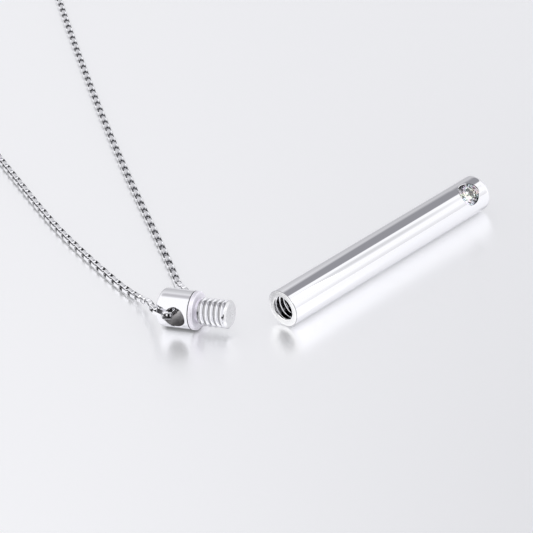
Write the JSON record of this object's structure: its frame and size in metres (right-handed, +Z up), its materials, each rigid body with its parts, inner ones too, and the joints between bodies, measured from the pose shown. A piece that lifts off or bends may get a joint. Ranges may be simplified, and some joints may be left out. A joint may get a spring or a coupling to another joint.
{
  "type": "keepsake urn pendant on a box chain",
  "caption": "Slim polished cylinder pendant with an ash chamber, a round stone set in its side and a screw cap drilled across for a fine box chain.",
  "frame": {"origin": "centre of the laid-out necklace's box, on the surface that it lies on", "axes": "+Z up from the surface; +Y the long way of the laid loop, from the pendant to the clasp; +X to the right as the picture shows it"},
  "size_m": [0.1171, 0.2116, 0.005],
  "materials": {
    "polished_steel": "mirror polished stainless steel",
    "chain_steel": "bright polished stainless steel links",
    "clear_stone": "clear brilliant-cut stone"
  },
  "bodies": {
    "root": {"urn_tube": "polished_steel", "stone": "clear_stone", "screw_cap": "polished_steel", "chain": "chain_steel", "clasp": "polished_steel"}
  },
  "joints": []
}
